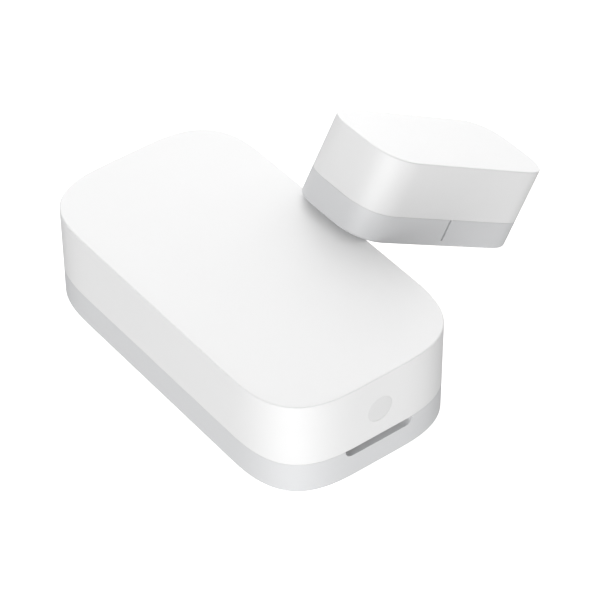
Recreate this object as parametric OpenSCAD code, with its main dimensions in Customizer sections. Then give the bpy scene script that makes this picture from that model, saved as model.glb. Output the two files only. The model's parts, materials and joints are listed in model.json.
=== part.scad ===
// Door contact sensor: a battery-powered sensor unit lying on its back, and the magnet
// unit that is loose and leans on it. The sensor unit has a moulded shell, a snap-on
// base with a prying slot, a circuit board with a reed switch, a coin cell and a button.
// Origin: centre of the sensor's mounting face. +Z to its top, +Y along its length,
// with the button at the -Y end, and +X towards the magnet unit. Millimetres.

/* [Sensor body] */
// length along Y
body_l = 41; // [40:0.5:44]
// width along X
body_w = 22; // [21.6:0.1:24]
// height from the base's rim to the top
body_h = 11; // [10.9:0.1:12]
// height of the grey base above its rim
base_h = 3.65; // [3.5:0.05:3.8]
// size of the plan's corners
corner_r = 9.2; // [8:0.1:10]
// exponent of the plan's corners, 2 is a circle
corner_e = 3; // [2.2:0.1:3.6]
// wall thickness of the mouldings
wall = 1.2; // [1:0.1:1.3]
// rounding of the top edge
top_round = 0.15; // [0.1:0.05:0.4]
// rounding of the bottom edge
foot_round = 0.3; // [0.2:0.05:0.6]
// gap between a shell and its base
seam_gap = 0.02; // [0.02:0.01:0.1]

/* [Base] */
// thickness of the base's floor
floor_t = 1; // [0.8:0.1:1.2]
// height of the lip above the seam
lip_h = 1.05; // [0.8:0.05:1.1]
// thickness of the lip
lip_t = 0.8; // [0.7:0.05:0.9]
// gap between the lip and the shell
lip_gap = 0.15; // [0.1:0.01:0.2]
// prying slot, width
slot_w = 8; // [6:0.5:10]
// prying slot, height
slot_h = 0.88; // [0.8:0.02:1.2]
// prying slot, depth
slot_d = 1.7; // [1:0.1:1.7]
// prying slot, corner radius
slot_r = 0.78; // [0.4:0.02:0.78]
// alignment mark, width
mark_w = 0.28; // [0.2:0.02:0.5]
// alignment mark, depth
mark_d = 0.3; // [0.1:0.05:0.4]
// height of the mark's foot above the rim
mark_foot = 0.7; // [0.6:0.1:1.5]

/* [Snap ribs] */
// length of each snap rib
rib_l = 4; // [3:0.5:4]
// how far the ribs stand out of the lip
rib_out = 0.08; // [0.05:0.01:0.12]
// height of the ribs above the seam
rib_up = 0.7; // [0.5:0.05:0.7]
// distance of the ribs from the middle, along Y
rib_y = 9; // [6:0.5:9]

/* [Adhesive pads] */
// thickness of the foam pads
pad_t = 0.8; // [0.6:0.1:1]
// thickness of the magnet unit's foam pad
mag_pad_t = 0.7; // [0.5:0.1:0.8]
// thickness of the release liners
liner_t = 0.1; // [0.06:0.02:0.14]
// sensor pad, length along Y
pad_l = 35.6; // [32:0.2:36]
// sensor pad, width along X
pad_w = 16.6; // [14:0.2:17]
// sensor pad, size of its plan's corners
pad_r = 6.3; // [4:0.1:6.8]
// magnet unit's pad, length
mag_pad_l = 17; // [14:0.5:17]
// magnet unit's pad, width
mag_pad_w = 7.5; // [6:0.1:7.6]
// magnet unit's pad, size of its plan's corners
mag_pad_r = 2.35; // [2:0.05:2.6]

/* [Button and switch] */
// diameter of the button's disc
button_d = 2.8; // [2.4:0.1:3.2]
// height of the button's middle above the base's rim
button_up = 6.95; // [6.9:0.05:7.1]
// travel of the button
button_travel = 0.25; // [0.15:0.01:0.25]
// gap around the button
button_gap = 0.03; // [0.03:0.01:0.1]
// width of the switch
switch_w = 4.7; // [4.5:0.1:4.7]
// depth of the switch along Y
switch_l = 2.6; // [2.4:0.1:2.8]
// height of the switch
switch_h = 1.65; // [1.6:0.05:1.8]

/* [Circuit board] */
// thickness of the board
board_t = 0.8; // [0.6:0.1:0.8]
// height of the board's underside
board_z = 6; // [5.95:0.05:6.1]
// diameter of the pins that hold the board
pin_d = 1.1; // [1:0.05:1.15]
// diameter of the posts that the board sits against
post_d = 2.4; // [2.2:0.1:2.6]

/* [Coin cell] */
// diameter of the cell
cell_d = 16; // [16:0.1:16]
// thickness of the cell
cell_t = 3.2; // [3.2:0.1:3.2]
// middle of the cell along Y
cell_y = 8.5; // [8:0.1:8.8]
// height of the cell's lower face
cell_z = 2.4; // [2.35:0.05:2.4]

/* [Reed switch] */
// middle of the reed switch along X
reed_x = 7; // [6.6:0.1:7.4]
// length of the glass
glass_l = 10; // [9:0.5:11]
// diameter of the glass
glass_d = 1.8; // [1.8:0.1:2]

/* [Magnet unit] */
// length of the magnet unit
mag_l = 24.4; // [23:0.2:26]
// width of the magnet unit
mag_w = 11; // [10.6:0.2:12]
// height of the magnet unit
mag_h = 9; // [8.8:0.1:10]
// height of its grey base
mag_base_h = 3.05; // [2.8:0.05:3.3]
// size of its plan's corners
mag_r = 4.2; // [3.6:0.1:5]
// exponent of its plan's corners
mag_e = 2.4; // [2:0.1:3]
// how steeply it leans on the sensor unit, degrees
mag_tilt = 30; // [27:0.5:33]
// how far its middle is from the sensor's along Y
mag_y = 0.2; // [-3:0.1:3]
// length of the bar magnet
bar_l = 16; // [14:0.5:17]
// width of the bar magnet
bar_w = 5; // [4:0.5:5.5]
// height of the bar magnet
bar_h = 4; // [3:0.5:4]
// height of its middle above the base's rim
bar_z = 5; // [4.8:0.05:5.2]
// where its alignment mark is, along its length
mag_mark_x = -0.1; // [-2:0.1:2]

/* [Hidden] */
rim_z = liner_t;
top_z = rim_z + body_h;
seam_z = rim_z + base_h + seam_gap;
recess_z = liner_t + pad_t;
floor_z = recess_z + floor_t;
lip_z = seam_z + lip_h;
in_w = body_w - 2 * wall;
in_l = body_l - 2 * wall;
in_r = corner_r - wall;
lip_w = in_w - 2 * lip_gap;
lip_l = in_l - 2 * lip_gap;
lip_r = in_r - lip_gap;
rib_z = seam_z + rib_up;
board_top = board_z + board_t;
button_z = rim_z + button_up;
wall_y = -in_l / 2;
flange_y = wall_y + 0.05;
flange_t = 0.6;
flange_d = button_d + 1;
stem_y = flange_y + flange_t + 0.02;
stem_l = 2.88;
switch_y = -16.9;
stem_z = board_top + 0.85;
switch_back = switch_y + switch_l;
sheet_t = 0.14;
radio_spot = [-2.6, -5.6];
radio_w = 5;
crystal_spot = [3.4, -5.2];
cap_h = 0.75;
res_h = 0.42;
pin_spots = [[6.2, -12.5], [-6.2, -12.5], [7, 15.6], [-7, 15.6]];
reed_z = board_top + 0.2 + glass_d / 2;
cap_column = [for (i = [0:2]) [-6.4, 1.6 * i - 8.6, 0]];
cap_spots = concat(cap_column, [[1.4, -9.6, 90], [2.9, -9.6, 90], [5.9, -2.4, 0]]);
res_spots = [[-6.4, -3.6, 0], [-6.4, -2.2, 0], [1.4, -1.8, 90], [2.7, -1.8, 90], [6.4, -5.2, 0]];
pad_spots = [[-7.4, -10.4], [7.4, -10], [7.4, -7.6], [-1.6, -10.6]];
mag_c = cos(mag_tilt);
mag_s = sin(mag_tilt);
mag_oz = (mag_l / 2 - foot_round) * mag_s - foot_round * mag_c + foot_round + 0.01;
mag_edge = mag_s * (body_w / 2 - top_round) + mag_c * (top_z - top_round) + top_round + 0.02;
mag_ox = (mag_edge - mag_c * mag_oz) / mag_s;
mag_seam = mag_base_h + seam_gap;
mag_floor_z = mag_pad_t + 0.8;
bar_rib_x = 5;
bar_gap = 0.02;
white = [0.93, 0.93, 0.93];
grey = [0.78, 0.785, 0.795];
steel = [0.74, 0.74, 0.75];
tin = [0.82, 0.82, 0.8];
black = [0.09, 0.09, 0.1];

// outline of a rectangle w by l, whose corners are superellipse arcs of size r
function outline(w, l, r, e, n = 14) = [
  for (q = [0:3])
    for (i = [0:n])
      let (
        a = 90 * q + 90 * i / n,
        c = cos(a),
        s = sin(a),
        k = r * pow(pow(abs(c), e) + pow(abs(s), e), -1 / e),
        x = (q == 0 || q == 3) ? w / 2 - r : r - w / 2,
        y = q < 2 ? l / 2 - r : r - l / 2
      )
      [x + k * c, y + k * s]
];

// steps of a quarter round at height z: [inset, height], upwards
function foot_steps(z, r) = [for (a = [0:22.5:67.5]) [r * (1 - sin(a)), z + r * (1 - cos(a))]];
function top_steps(z, r) = [for (a = [22.5:22.5:90]) [r * (1 - cos(a)), z - r + r * sin(a)]];

// straight prism between heights z0 and z1
module slab(w, l, r, e, z0, z1) {
  translate([0, 0, z0])
    linear_extrude(z1 - z0)
      polygon(outline(w, l, r, e));
}

// the same with its lower edge rounded by foot and its upper edge by top
module moulding(w, l, r, e, z0, z1, foot, top) {
  steps = concat(
    foot > 0 ? foot_steps(z0, foot) : [],
    [[0, z0 + foot], [0, z1 - top]],
    top > 0 ? top_steps(z1, top) : []
  );
  rings = [for (s = steps) outline(w - 2 * s[0], l - 2 * s[0], r - s[0], e)];
  n = len(rings[0]);
  m = len(steps);
  points = [for (j = [0:m - 1]) for (p = rings[j]) [p[0], p[1], steps[j][1]]];
  sides = [
    for (j = [0:m - 2])
      for (i = [0:n - 1])
        let (k = (i + 1) % n)
        [j * n + i, (j + 1) * n + i, (j + 1) * n + k, j * n + k]
  ];
  bottom = [[for (i = [0:n - 1]) i]];
  lid = [[for (i = [n - 1:-1:0]) (m - 1) * n + i]];
  polyhedron(points, concat(bottom, sides, lid));
}

// box from its lower corner a to its upper corner b
module block(a, b) {
  translate(a)
    cube(b - a);
}

// round bar along Y, from y0 to y1 at x and z
module bar_y(x, z, y0, y1, r) {
  translate([x, y0, z])
    rotate([-90, 0, 0])
      cylinder(r = r, h = y1 - y0, $fn = 40);
}

// everything of the magnet unit is drawn flat, then leaned on the sensor unit
module in_magnet_unit() {
  translate([mag_ox, mag_y, mag_oz])
    rotate([0, mag_tilt, 0])
      children();
}

// ---- sensor unit: mouldings ----

// post under the shell's top, with a pin through the board and a melted head below it
module board_pin(spot) {
  head = 0.45;
  translate([spot[0], spot[1], board_top])
    cylinder(d = post_d, h = top_z - wall - board_top + 0.2, $fn = 40);
  translate([spot[0], spot[1], board_z - head / 2])
    cylinder(d = pin_d, h = board_t + head, $fn = 40);
  translate([spot[0], spot[1], board_z - head])
    cylinder(d1 = pin_d + 0.4, d2 = pin_d + 0.9, h = head, $fn = 40);
}

module sensor_shell() {
  color(white) {
    difference() {
      moulding(body_w, body_l, corner_r, corner_e, seam_z, top_z, 0, top_round);
      slab(in_w, in_l, in_r, corner_e, seam_z - 1, top_z - wall);
      bar_y(0, button_z, -body_l / 2 - 1, wall_y + 1, button_d / 2 + button_gap);
      for (s = [-1, 1])
        for (y = [-rib_y, rib_y])
          translate([s * in_w / 2, y, rib_z])
            cube([0.4, rib_l + 0.4, 0.5], center = true);
    }
    for (p = pin_spots)
      board_pin(p);
  }
}

module pry_slot() {
  z = rim_z + base_h - slot_h;
  x = slot_w / 2;
  y = -body_l / 2;
  block([-x, y - 1, z + slot_r], [x, y + slot_d, seam_z + 0.3]);
  block([slot_r - x, y - 1, z], [x - slot_r, y + slot_d, z + slot_h]);
  for (s = [-1, 1])
    bar_y(s * (x - slot_r), z + slot_r, y - 1, y + slot_d, slot_r);
}

module snap_rib(s, y) {
  foot = lip_w / 2 - 0.1;
  crest = lip_w / 2 + rib_out;
  translate([0, y + rib_l / 2, rib_z])
    rotate([90, 0, 0])
      linear_extrude(rib_l)
        polygon([[s * foot, -0.2], [s * crest, -0.05], [s * crest, 0.05], [s * foot, 0.2]]);
}

module sensor_base() {
  color(grey) {
    difference() {
      union() {
        moulding(body_w, body_l, corner_r, corner_e, rim_z, rim_z + base_h, foot_round, 0);
        slab(lip_w, lip_l, lip_r, corner_e, floor_z, lip_z);
        for (s = [-1, 1])
          for (y = [-rib_y, rib_y])
            snap_rib(s, y);
      }
      slab(lip_w - 2 * lip_t, lip_l - 2 * lip_t, lip_r - lip_t, corner_e, floor_z, lip_z + 1);
      slab(pad_w + 0.6, pad_l + 0.6, pad_r + 0.3, corner_e, rim_z - 1, recess_z);
      pry_slot();
      block([body_w / 2 - mark_d, -mark_w / 2, rim_z + mark_foot], [body_w, mark_w / 2, seam_z]);
    }
    for (x = [-4, 4])
      block([x - 0.4, cell_y - 5, floor_z - 0.1], [x + 0.4, cell_y + 5, cell_z - 0.1]);
  }
}

module sensor_pad() {
  color([0.86, 0.86, 0.85])
    slab(pad_w, pad_l, pad_r, corner_e, liner_t, liner_t + pad_t);
}

module sensor_liner() {
  color([0.93, 0.9, 0.82])
    slab(pad_w + 0.3, pad_l + 0.3, pad_r + 0.15, corner_e, 0, liner_t);
}

// ---- button and its switch ----

module function_button() {
  r = button_d / 2;
  face = body_l / 2 - 0.04;
  color([0.9, 0.9, 0.9])
    translate([0, 0, button_z])
      rotate([90, 0, 0])
        rotate_extrude($fn = 80)
          polygon([
            [0, -flange_y - flange_t],
            [flange_d / 2, -flange_y - flange_t],
            [flange_d / 2, -flange_y],
            [r, -flange_y],
            [r, face - 0.08],
            [r - 0.08, face],
            [0, face]
          ]);
}

module switch_body() {
  color(black)
    difference() {
      block([-switch_w / 2, switch_y, board_top], [switch_w / 2, switch_back, board_top + switch_h]);
      block([-0.85, switch_y - 1, stem_z - 0.45], [0.85, switch_y + 1.55, stem_z + 0.45]);
    }
}

module switch_stem() {
  y = stem_y;
  color([0.2, 0.2, 0.21])
    translate([0, 0, stem_z - 0.4])
      linear_extrude(0.8)
        polygon([
          [-0.75, y + stem_l],
          [-0.75, y + 0.2],
          [-0.6, y + 0.03],
          [-0.4, y],
          [0.4, y],
          [0.6, y + 0.03],
          [0.75, y + 0.2],
          [0.75, y + stem_l]
        ]);
}

// a bowed strip of spring steel behind the stem
module switch_leaf() {
  y = stem_y + stem_l + 0.02;
  bow = button_travel;
  outer = [for (i = [-6:6]) [0.12 * i, y + bow * i * i / 36]];
  inner = [for (i = [6:-1:-6]) [0.12 * i, y + bow * i * i / 36 + 0.06]];
  color(steel)
    translate([0, 0, stem_z - 0.35])
      linear_extrude(0.7)
        polygon(concat(outer, inner));
}

module switch_cover() {
  x = switch_w / 2 + 0.01;
  z = board_top + switch_h + 0.01;
  color(steel)
    translate([0, switch_back, 0])
      rotate([90, 0, 0])
        linear_extrude(switch_l)
          polygon([
            [-x - sheet_t, board_top],
            [-x, board_top],
            [-x, z],
            [x, z],
            [x, board_top],
            [x + sheet_t, board_top],
            [x + sheet_t, z + sheet_t],
            [-x - sheet_t, z + sheet_t]
          ]);
}

module switch_terminals() {
  y = switch_back + 0.01;
  wide = 0.7;
  color(tin)
    for (s = [-1, 1])
      translate([1.6 * s + wide / 2, 0, 0])
        rotate([0, -90, 0])
          linear_extrude(wide)
            polygon([
              [board_top, y],
              [board_top + 0.8, y],
              [board_top + 0.8, y + sheet_t],
              [board_top + sheet_t, y + sheet_t],
              [board_top + sheet_t, y + 0.7],
              [board_top, y + 0.7]
            ]);
}

// ---- circuit board and its small parts ----

module circuit_board() {
  w = in_w - 0.6;
  l = in_l - 0.6;
  color([0.12, 0.3, 0.2])
    difference() {
      slab(w, l, in_r - 0.3, corner_e, board_z, board_top);
      block([-2.5, -l / 2 - 1, board_z - 1], [2.5, -18, board_top + 1]);
      for (p = pin_spots)
        translate([p[0], p[1], board_z - 1])
          cylinder(d = pin_d + 0.2, h = board_t + 2, $fn = 40);
    }
}

// block under the board
module chip(spot, size) {
  translate([spot[0], spot[1], board_z - size[2] / 2])
    cube(size, center = true);
}

module radio_chip() {
  color(black)
    chip(radio_spot, [radio_w, radio_w, 0.85]);
}

module radio_chip_leads() {
  color(tin)
    for (a = [0:90:270])
      translate([radio_spot[0], radio_spot[1], 0])
        rotate([0, 0, a])
          for (i = [-2.5:2.5])
            chip([radio_w / 2 + 0.1, 0.75 * i], [0.16, 0.3, 0.14]);
}

module crystal_base() {
  color([0.32, 0.29, 0.26])
    chip(crystal_spot, [3.2, 2.5, 0.35]);
}

module crystal_lid() {
  color(steel)
    translate([crystal_spot[0], crystal_spot[1], board_z - 0.76])
      linear_extrude(0.4)
        polygon(outline(2.9, 2.2, 0.35, 2, 6));
}

// two-terminal chip parts: the middle in the one node, its plated ends in the other
module two_ended(spots, part, tall) {
  for (p = spots)
    translate([p[0], p[1], 0])
      rotate([0, 0, p[2]]) {
        if (part == "middle")
          chip([0, 0], [1, 0.78, tall]);
        if (part == "ends")
          for (s = [-1, 1])
            chip([0.66 * s, 0], [0.3, 0.8, tall + 0.02]);
      }
}

module capacitor_bodies() {
  color([0.66, 0.52, 0.36])
    two_ended(cap_spots, "middle", cap_h);
}

module capacitor_ends() {
  color(tin)
    two_ended(cap_spots, "ends", cap_h);
}

module resistor_bodies() {
  color(black)
    two_ended(res_spots, "middle", res_h);
}

module resistor_ends() {
  color(tin)
    two_ended(res_spots, "ends", res_h);
}

module bulk_capacitor() {
  color([0.78, 0.6, 0.2])
    translate([4.6, -9.6, board_z - 1.5])
      linear_extrude(1.5)
        polygon(outline(1.7, 3.2, 0.2, 2, 4));
}

module test_pads() {
  color([0.8, 0.66, 0.36])
    for (p = pad_spots)
      translate([p[0], p[1], board_z - 0.05])
        cylinder(d = 1.1, h = 0.05, $fn = 40);
}

// a folded copper track at the board's -Y end
module antenna_trace() {
  color([0.72, 0.45, 0.25])
    translate([0, 0, board_z - 0.06]) {
      for (i = [-4:4])
        translate([i - 0.2, -16.2, 0])
          cube([0.4, 3, 0.06]);
      for (i = [-4:2:2])
        translate([i - 0.2, -16.2, 0])
          cube([1.4, 0.4, 0.06]);
      for (i = [-3:2:3])
        translate([i - 0.2, -13.6, 0])
          cube([1.4, 0.4, 0.06]);
    }
}

module status_led() {
  color([0.85, 0.87, 0.84])
    block([-4.8, -16.4, board_top], [-3.2, -15.6, board_top + 0.7]);
}

// ---- reed switch ----

module reed_glass() {
  r = glass_d / 2;
  h = glass_l / 2;
  cap = [for (a = [10:16:90]) [0.26 + (r - 0.26) * sin(a), h - 0.64 + 0.64 * cos(a)]];
  side = concat([[0.26, h]], cap, [for (i = [len(cap) - 1:-1:0]) [cap[i][0], -cap[i][1]]], [[0.26, -h]]);
  hollow = [[0.26, -4.05], [0.65, -3.7], [0.65, 3.7], [0.26, 4.05]];
  color([0.8, 0.88, 0.84, 0.35])
    translate([reed_x, 0, reed_z])
      rotate([-90, 0, 0])
        rotate_extrude($fn = 60)
          polygon(concat(side, hollow));
}

// wire out of the glass, down to the board and along it; s is the end it leaves from
module reed_wire(s, y0) {
  r = 0.24;
  low = board_top + 1.12 * r + 0.01;
  bend = [reed_x, s * 6, reed_z];
  foot = [reed_x, s * 6.9, low];
  drop = reed_z - low;
  run = norm([0.9, drop]);
  bar_y(reed_x, reed_z, min(s * 6, y0), max(s * 6, y0), r);
  bar_y(reed_x, low, min(s * 6.9, s * 8), max(s * 6.9, s * 8), r);
  translate(bend)
    rotate([-s * (90 + atan2(drop, 0.9)), 0, 0])
      cylinder(r = r, h = run, $fn = 40);
  for (p = [bend, foot])
    translate(p)
      sphere(r = 1.12 * r, $fn = 40);
}

module reed_fixed_lead() {
  color(steel) {
    reed_wire(-1, -3.6);
    block([reed_x - 0.22, -3.7, reed_z - 0.4], [reed_x - 0.02, 0.6, reed_z + 0.4]);
  }
}

module reed_outer_lead() {
  color(steel)
    reed_wire(1, 3.72);
}

// the flat spring tongue beside the fixed blade, which the magnet pulls shut
module reed_tongue() {
  color(steel)
    block([reed_x - 0.01, -0.6, reed_z - 0.4], [reed_x + 0.17, 3.7, reed_z + 0.4]);
}

// ---- coin cell and its contacts ----

module battery_holder() {
  h = 1.8;
  z = board_z - h;
  r = cell_d / 2 + 0.15;
  color(black)
    difference() {
      translate([0, cell_y, z])
        cylinder(r = r + 0.5, h = h, $fn = 120);
      translate([0, cell_y, z - 1])
        cylinder(r = r, h = h + 2, $fn = 120);
      block([-3, cell_y, z - 1], [3, cell_y + r + 1, board_z + 1]);
      block([-5, cell_y - r - 1, z - 1], [5, cell_y, board_z + 1]);
    }
}

module positive_contact() {
  y = cell_y + cell_d / 2 + 0.06;
  color(steel)
    translate([-2, 0, 0])
      rotate([90, 0, 90])
        linear_extrude(4)
          polygon([
            [y + 0.3, 3.2],
            [y + 0.12, 3.3],
            [y, 3.8],
            [y, 4.6],
            [y + 0.25, 5.2],
            [y + 0.25, 6],
            [y + 1.4, 6],
            [y + 1.4, 5.82],
            [y + 0.43, 5.82],
            [y + 0.43, 5.2],
            [y + 0.18, 4.6],
            [y + 0.18, 3.8],
            [y + 0.36, 3.4]
          ]);
}

module negative_contact() {
  top = cell_z + cell_t + 0.03;
  color(steel)
    translate([-1.5, 0, 0])
      rotate([90, 0, 90])
        linear_extrude(3)
          polygon([
            [3.4, board_z],
            [3.4, board_z - 0.14],
            [5.2, board_z - 0.14],
            [7.4, top],
            [8.6, top],
            [9.6, top + 0.12],
            [9.5, top + 0.22],
            [8.5, top + 0.12],
            [7.5, top + 0.12],
            [5.4, board_z]
          ]);
}

module turned(points) {
  translate([0, cell_y, cell_z])
    rotate_extrude($fn = 120)
      polygon(points);
}

module battery_can() {
  r = cell_d / 2;
  color(steel)
    turned([
      [0, 0],
      [r - 0.3, 0],
      [r, 0.3],
      [r, 2.6],
      [r - 0.4, 2.9],
      [r - 0.6, 2.9],
      [r - 0.6, 2.72],
      [r - 0.5, 2.68],
      [r - 0.25, 2.5],
      [r - 0.25, 0.25],
      [0, 0.25]
    ]);
}

module battery_gasket() {
  r = cell_d / 2 - 0.27;
  color([0.12, 0.12, 0.13])
    turned([
      [r - 0.7, 0.27],
      [r, 0.27],
      [r, 2.48],
      [r - 0.25, 2.66],
      [r - 0.35, 2.7],
      [r - 0.35, 2.92],
      [r - 0.7, 2.92]
    ]);
}

module battery_core() {
  color([0.2, 0.2, 0.2])
    turned([[0, 0.27], [6.7, 0.27], [6.7, 2.6], [0, 2.6]]);
}

module battery_cap() {
  color(tin)
    turned([
      [0, cell_t - 0.25],
      [6.1, cell_t - 0.25],
      [6.5, 2.72],
      [6.74, 2.6],
      [6.74, 0.9],
      [7.01, 0.9],
      [7.01, 2.74],
      [6.6, 2.96],
      [6.3, cell_t],
      [0, cell_t]
    ]);
}

// ---- magnet unit ----

// two ribs that the bar magnet is held between, from height z0 to z1
module bar_ribs(z0, z1) {
  for (s = [-1, 1])
    block([bar_rib_x * s - 0.5, -2, z0], [bar_rib_x * s + 0.5, 2, z1]);
}

module magnet_shell() {
  w = mag_l - 2 * wall;
  l = mag_w - 2 * wall;
  color(white)
    in_magnet_unit() {
      difference() {
        moulding(mag_l, mag_w, mag_r, mag_e, mag_seam, mag_h, 0, top_round);
        slab(w, l, mag_r - wall, mag_e, mag_seam - 1, mag_h - wall);
      }
      bar_ribs(bar_z + bar_h / 2 + bar_gap, mag_h - wall + 0.2);
    }
}

module magnet_base() {
  w = mag_l - 2 * wall - 2 * lip_gap;
  l = mag_w - 2 * wall - 2 * lip_gap;
  r = mag_r - wall - lip_gap;
  color(grey)
    in_magnet_unit() {
      difference() {
        union() {
          moulding(mag_l, mag_w, mag_r, mag_e, 0, mag_base_h, foot_round, 0);
          slab(w, l, r, mag_e, mag_floor_z, mag_seam + lip_h);
        }
        slab(w - 2 * lip_t, l - 2 * lip_t, r - lip_t, mag_e, mag_floor_z, mag_seam + lip_h + 1);
        slab(mag_pad_l + 0.5, mag_pad_w + 0.5, mag_pad_r + 0.25, mag_e, -1, mag_pad_t);
        translate([mag_mark_x, -mag_w / 2, 0])
          block([-mark_w / 2, -1, mark_foot], [mark_w / 2, mark_d, mag_seam]);
      }
      bar_ribs(mag_floor_z - 0.1, bar_z - bar_h / 2 - bar_gap);
    }
}

module bar_magnet() {
  color(steel)
    in_magnet_unit()
      translate([-bar_l / 2, 0, bar_z])
        rotate([90, 0, 90])
          linear_extrude(bar_l)
            polygon(outline(bar_w, bar_h, 0.3, 2, 4));
}

module magnet_pad() {
  color([0.86, 0.86, 0.85])
    in_magnet_unit()
      slab(mag_pad_l, mag_pad_w, mag_pad_r, mag_e, 0, mag_pad_t);
}

module magnet_liner() {
  color([0.93, 0.9, 0.82])
    in_magnet_unit()
      slab(mag_pad_l + 0.2, mag_pad_w + 0.2, mag_pad_r + 0.1, mag_e, -liner_t, 0);
}

sensor_shell();
sensor_base();
function_button();
switch_body();
switch_stem();
switch_leaf();
switch_cover();
switch_terminals();
circuit_board();
radio_chip();
radio_chip_leads();
crystal_base();
crystal_lid();
capacitor_bodies();
capacitor_ends();
resistor_bodies();
resistor_ends();
bulk_capacitor();
test_pads();
antenna_trace();
status_led();
reed_glass();
reed_fixed_lead();
reed_outer_lead();
reed_tongue();
battery_holder();
positive_contact();
negative_contact();
battery_can();
battery_gasket();
battery_core();
battery_cap();
sensor_pad();
sensor_liner();
magnet_shell();
magnet_base();
bar_magnet();
magnet_pad();
magnet_liner();
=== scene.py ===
"""The looks of a door contact sensor and its loose magnet unit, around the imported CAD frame.

Shapes are worked out in millimetres and stored in metres. The sensor unit is drawn where it
stands. The magnet unit is drawn flat in its own frame, then leaned by magnet_place().
"""

import json
from math import atan2, cos, pi, radians, sin

import bmesh
import bpy
from mathutils import Matrix, Vector


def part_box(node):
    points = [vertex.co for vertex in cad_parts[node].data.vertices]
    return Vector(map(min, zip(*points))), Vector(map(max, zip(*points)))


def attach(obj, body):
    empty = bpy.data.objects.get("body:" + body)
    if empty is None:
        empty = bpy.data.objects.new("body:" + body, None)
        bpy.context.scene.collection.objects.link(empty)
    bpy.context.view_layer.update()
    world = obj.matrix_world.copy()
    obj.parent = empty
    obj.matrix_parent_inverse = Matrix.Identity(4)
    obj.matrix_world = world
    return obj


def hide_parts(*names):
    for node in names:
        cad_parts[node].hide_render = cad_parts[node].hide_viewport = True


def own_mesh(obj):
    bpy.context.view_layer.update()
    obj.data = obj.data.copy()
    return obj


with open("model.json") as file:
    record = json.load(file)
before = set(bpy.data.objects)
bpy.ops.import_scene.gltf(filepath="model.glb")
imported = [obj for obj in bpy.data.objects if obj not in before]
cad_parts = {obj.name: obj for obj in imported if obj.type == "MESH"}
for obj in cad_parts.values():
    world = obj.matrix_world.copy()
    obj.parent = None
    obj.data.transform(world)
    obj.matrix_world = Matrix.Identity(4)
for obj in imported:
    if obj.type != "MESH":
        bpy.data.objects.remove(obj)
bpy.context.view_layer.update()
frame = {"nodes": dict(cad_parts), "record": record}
nodes = frame["nodes"]
record = frame["record"]
mounts = {m["name"]: m for m in record["mounts"]}

MM = 0.001
CORNER_POINTS = 36  # steps on each corner of a moulding's outline
MERGE = 1e-5  # mm: points nearer to each other than this after a boolean are one
OVER = 1  # mm: how far a cutting tool reaches past what it cuts
PIECE_SHARP = 32  # degrees: an edge of a piece that turns more than this stays sharp
NODE_SHARP = 35  # the same for a CAD node
MIX_A, MIX_B, MIX_RESULT = 6, 7, 2  # where a Mix node has its colour sockets

# Sizes that the frame's boxes don't give, in millimetres
CORNER_R = 9.2  # size of the sensor unit's plan corners
CORNER_E = 3.0  # and their superellipse exponent
MAG_L = 24.4
MAG_W = 11.0
MAG_H = 9.0
MAG_BASE_H = 3.05
MAG_R = 4.2
MAG_E = 2.4
WALL = 1.2
TOP_ROUND = 0.15
FOOT_ROUND = 0.3
SEAM_GAP = 0.02
LIP_GAP = 0.15
LIP_T = 0.8
LIP_H = 1.05
FLOOR_T = 1.0
MAG_FLOOR_T = 0.8
PAD_T = 0.8
MAG_PAD_T = 0.7
LINER_T = 0.1
RECESS_IN = 2.4  # from the sensor unit's outline in to the pad's recess,
LINER_IN = 2.55  # to its liner
PAD_IN = 2.7  # and to its pad
MARK_W = 0.28
MARK_D = 0.3
MARK_FOOT = 0.7
MAG_MARK_X = -0.1
SLOT_H = 0.88
SLOT_HALF = 4.0
SLOT_D = 1.7
SLOT_R = 0.78
BUTTON_HOLE_R = 1.43
BUTTON_CLEAR = 0.01
RIB_UP = 0.7  # from the seam up to the middle of a snap rib
RIB_L = 4
RIB_YS = (-9, 9)
BAR_FOOT = 2.98  # the heights in the magnet unit between which its bar is held
BAR_TOP = 7.02
SUNK = 0.05  # how far what lies on the board reaches into it


def box_mm(node):
    """Lowest and highest corner of a CAD node, in millimetres."""
    lo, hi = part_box(node)
    return lo / MM, hi / MM


SHELL_LO, SHELL_HI = box_mm("sensor_shell")
BASE_LO, BASE_HI = box_mm("sensor_base")
BUTTON_LO, BUTTON_HI = box_mm("function_button")
BOARD_LO, BOARD_HI = box_mm("circuit_board")
CAN_LO, CAN_HI = box_mm("battery_can")
CAP_TOP = box_mm("battery_cap")[1].z
SENSOR = (SHELL_HI.x - SHELL_LO.x, SHELL_HI.y - SHELL_LO.y, CORNER_R, CORNER_E)
MAGNET = (MAG_L, MAG_W, MAG_R, MAG_E)
MAG_RECESS = (17.5, 8, 2.6, MAG_E)
MAG_LINER = (17.2, 7.7, 2.45, MAG_E)
MAG_PAD = (17, 7.5, 2.35, MAG_E)
SEAM_Z = SHELL_LO.z
TOP_Z = SHELL_HI.z
RIM_Z = BASE_LO.z
LIP_Z = BASE_HI.z
BASE_TOP = SEAM_Z - SEAM_GAP
RECESS_Z = RIM_Z + PAD_T
END_Y = SHELL_LO.y
BUTTON_Z = (BUTTON_LO.z + BUTTON_HI.z) / 2
CELL_Y = (CAN_LO.y + CAN_HI.y) / 2
CELL_R = (CAN_HI.x - CAN_LO.x) / 2
RIB_Z = SEAM_Z + RIB_UP
BOARD_PINS = [(6.2, -12.5), (-6.2, -12.5), (7.0, 15.6), (-7.0, 15.6)]
EJECTOR_PINS = [(6.4, -14.4), (7, -2.2), (6.4, 15)]  # on the base's right side

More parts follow.
